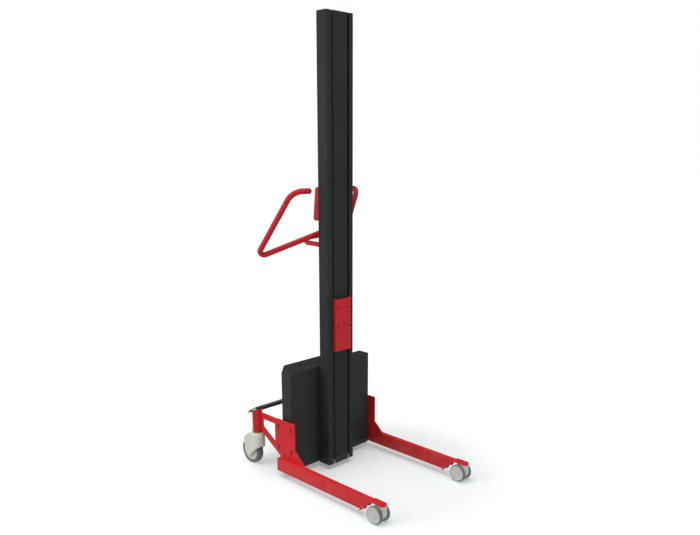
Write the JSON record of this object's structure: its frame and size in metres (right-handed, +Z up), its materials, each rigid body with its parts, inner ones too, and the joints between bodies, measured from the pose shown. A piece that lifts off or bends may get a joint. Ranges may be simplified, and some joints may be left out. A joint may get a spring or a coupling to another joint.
{
  "type": "mini stacker",
  "caption": "Light battery stacker on castors: tall slotted mast with a sliding carriage plate, low legs, foot housing, and a bent push handle with control box.",
  "frame": {"origin": "on the floor, under the centre of the object's bounding box", "axes": "+Z up along the mast, legs point to -Y, the user stands on the +Y side, +X to the right seen from the front side looking along +Y"},
  "size_m": [0.608, 0.8919, 1.919],
  "materials": {
    "red_paint": "satin powder coat",
    "anthracite_paint": "fine textured powder coat",
    "black_steel": "black oxide screws",
    "black_bar": "satin black bar with bare steel ends",
    "black_plastic": "moulded, fine texture",
    "panel_plastic": "matt panel film",
    "button_red": "glossy moulding",
    "battery_plastic": "moulded case",
    "motor_paint": "satin paint",
    "alu": "machined",
    "zinc_steel": "bright zinc plated",
    "belt_rubber": "toothed belt",
    "guide_plastic": "natural slide plastic",
    "pale_plastic": "moulded, satin",
    "tyre_grey": "smooth grey tread"
  },
  "bodies": {
    "base": {"leg_left": "red_paint", "leg_right": "red_paint", "castor_bracket_left": "red_paint", "castor_bracket_right": "red_paint", "side_plate_left": "red_paint", "side_plate_right": "red_paint", "castor_socket_left": "red_paint", "castor_socket_right": "red_paint", "front_cross_plate": "red_paint", "handle_tube": "red_paint", "handle_bracket": "red_paint", "control_box": "red_paint", "mast_profile": "anthracite_paint", "mast_front_strip": "anthracite_paint", "mast_top_cap": "anthracite_paint", "mast_foot_cap": "anthracite_paint", "mast_spacer": "anthracite_paint", "housing_front_cover": "anthracite_paint", "housing_rear_cover": "anthracite_paint", "rear_cross_plate": "anthracite_paint", "frame_screws": "black_steel", "handle_end_plugs": "black_plastic", "control_panel": "panel_plastic", "battery_tray": "zinc_steel", "battery_pack": "battery_plastic", "motor_controller": "alu", "gearbox": "alu", "lift_motor": "motor_paint", "charge_inlet": "black_plastic", "drive_belt": "belt_rubber", "idler_pin": "zinc_steel", "castor_stem_left": "zinc_steel", "castor_stem_right": "zinc_steel"},
    "carriage": {"carriage_plate": "red_paint", "carriage_bridge": "zinc_steel", "carriage_guides": "guide_plastic"},
    "drive_pulley": {"drive_pulley": "alu"},
    "idler_pulley": {"idler_pulley": "alu"},
    "brake_bar": {"brake_bar": "black_bar"},
    "lift_rocker": {"lift_rocker": "black_plastic"},
    "stop_button": {"stop_button": "button_red"},
    "front_castor_left": {"front_castor_body_left": "pale_plastic"},
    "front_wheel_left_outer": {"front_tyre_left_outer": "tyre_grey", "front_disc_left_outer": "pale_plastic"},
    "front_wheel_left_inner": {"front_tyre_left_inner": "tyre_grey", "front_disc_left_inner": "pale_plastic"},
    "rear_castor_left": {"rear_castor_hood_left": "pale_plastic", "rear_axle_left": "zinc_steel"},
    "rear_wheel_left": {"rear_tyre_left": "tyre_grey", "rear_hub_left": "pale_plastic"},
    "front_castor_right": {"front_castor_body_right": "pale_plastic"},
    "front_wheel_right_outer": {"front_tyre_right_outer": "tyre_grey", "front_disc_right_outer": "pale_plastic"},
    "front_wheel_right_inner": {"front_tyre_right_inner": "tyre_grey", "front_disc_right_inner": "pale_plastic"},
    "rear_castor_right": {"rear_castor_hood_right": "pale_plastic", "rear_axle_right": "zinc_steel"},
    "rear_wheel_right": {"rear_tyre_right": "tyre_grey", "rear_hub_right": "pale_plastic"}
  },
  "joints": [
    {"name": "carriage_lift", "type": "slide", "parent": "base", "child": "carriage", "axis": [0, 0, 1], "range_m": [-0.45, 1.05]},
    {"name": "drive_pulley_spin", "type": "hinge", "parent": "base", "child": "drive_pulley", "pos_m": [0, 0.09875, 0.23], "axis": [0, 1, 0], "range_deg": [-990, 2290]},
    {"name": "idler_pulley_spin", "type": "hinge", "parent": "base", "child": "idler_pulley", "pos_m": [0, 0.09875, 1.868], "axis": [0, 1, 0], "range_deg": [-990, 2290]},
    {"name": "brake_bar_tilt", "type": "hinge", "parent": "base", "child": "brake_bar", "pos_m": [0, 0.34875, 0.267], "axis": [1, 0, 0], "range_deg": [-25, 25]},
    {"name": "lift_rocker_tilt", "type": "hinge", "parent": "base", "child": "lift_rocker", "pos_m": [-0.021, 0.16075, 1.165], "axis": [1, 0, 0], "range_deg": [-9, 9], "stiffness_Nm_per_rad": 0.5},
    {"name": "stop_button_push", "type": "slide", "parent": "base", "child": "stop_button", "axis": [0, -1, 0], "range_m": [0, 0.004]},
    {"name": "front_swivel_left", "type": "hinge", "parent": "base", "child": "front_castor_left", "pos_m": [-0.264, -0.42625, 0], "axis": [0, 0, 1], "continuous": true},
    {"name": "front_wheel_spin_left_outer", "type": "hinge", "parent": "front_castor_left", "child": "front_wheel_left_outer", "pos_m": [-0.264, -0.40525, 0.0375], "axis": [1, 0, 0], "continuous": true},
    {"name": "front_wheel_spin_left_inner", "type": "hinge", "parent": "front_castor_left", "child": "front_wheel_left_inner", "pos_m": [-0.264, -0.40525, 0.0375], "axis": [1, 0, 0], "continuous": true},
    {"name": "rear_swivel_left", "type": "hinge", "parent": "base", "child": "rear_castor_left", "pos_m": [-0.256, 0.34875, 0], "axis": [0, 0, 1], "continuous": true},
    {"name": "rear_wheel_spin_left", "type": "hinge", "parent": "rear_castor_left", "child": "rear_wheel_left", "pos_m": [-0.256, 0.38875, 0.06], "axis": [1, 0, 0], "continuous": true},
    {"name": "front_swivel_right", "type": "hinge", "parent": "base", "child": "front_castor_right", "pos_m": [0.264, -0.42625, 0], "axis": [0, 0, 1], "continuous": true},
    {"name": "front_wheel_spin_right_outer", "type": "hinge", "parent": "front_castor_right", "child": "front_wheel_right_outer", "pos_m": [0.264, -0.40525, 0.0375], "axis": [1, 0, 0], "continuous": true},
    {"name": "front_wheel_spin_right_inner", "type": "hinge", "parent": "front_castor_right", "child": "front_wheel_right_inner", "pos_m": [0.264, -0.40525, 0.0375], "axis": [1, 0, 0], "continuous": true},
    {"name": "rear_swivel_right", "type": "hinge", "parent": "base", "child": "rear_castor_right", "pos_m": [0.256, 0.34875, 0], "axis": [0, 0, 1], "continuous": true},
    {"name": "rear_wheel_spin_right", "type": "hinge", "parent": "rear_castor_right", "child": "rear_wheel_right", "pos_m": [0.256, 0.38875, 0.06], "axis": [1, 0, 0], "continuous": true}
  ],
  "couplings": [
    {"joint": "drive_pulley_spin", "follows": "carriage_lift", "rad_per_m": 37.453},
    {"joint": "idler_pulley_spin", "follows": "carriage_lift", "rad_per_m": 37.453}
  ]
}
